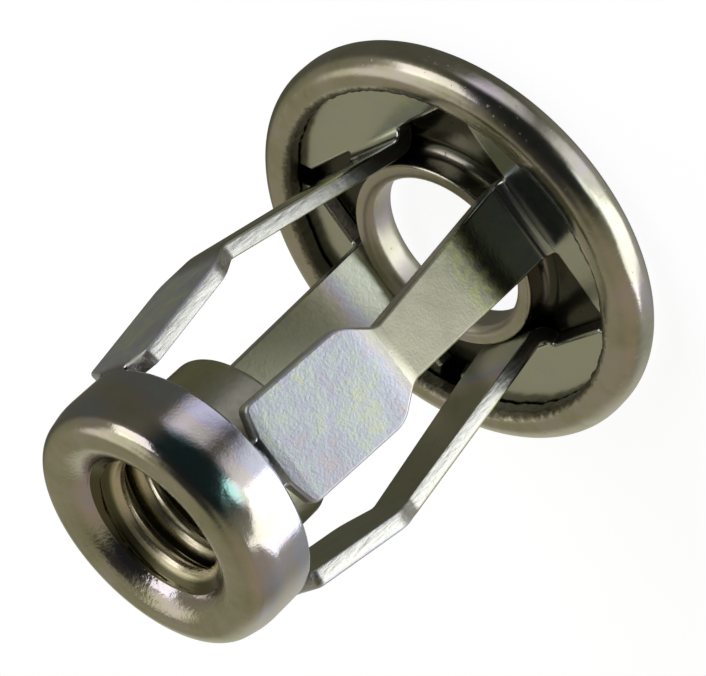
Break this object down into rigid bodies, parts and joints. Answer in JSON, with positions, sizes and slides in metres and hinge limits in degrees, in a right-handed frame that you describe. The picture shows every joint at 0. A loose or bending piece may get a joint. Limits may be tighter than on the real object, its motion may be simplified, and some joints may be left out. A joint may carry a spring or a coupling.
{
  "type": "jack nut",
  "caption": "Blind fastener: a drawn steel body with a tapped nose on folding legs, its lobes held under the curled rim of a round flange cap with an eyelet hole.",
  "frame": {"origin": "centre of the flange's flat outer face", "axes": "+Z from the flange to the nose along the screw's axis, with the windows between the legs facing along X and Y"},
  "size_m": [0.0192, 0.0192, 0.0208],
  "materials": {
    "zinc_body": "bright zinc plate on drawn sheet steel",
    "zinc_cap": "zinc plate with a faint yellow tint on drawn sheet steel"
  },
  "bodies": {
    "root": {"nut_body": "zinc_body", "flange_cap": "zinc_cap"}
  },
  "joints": []
}
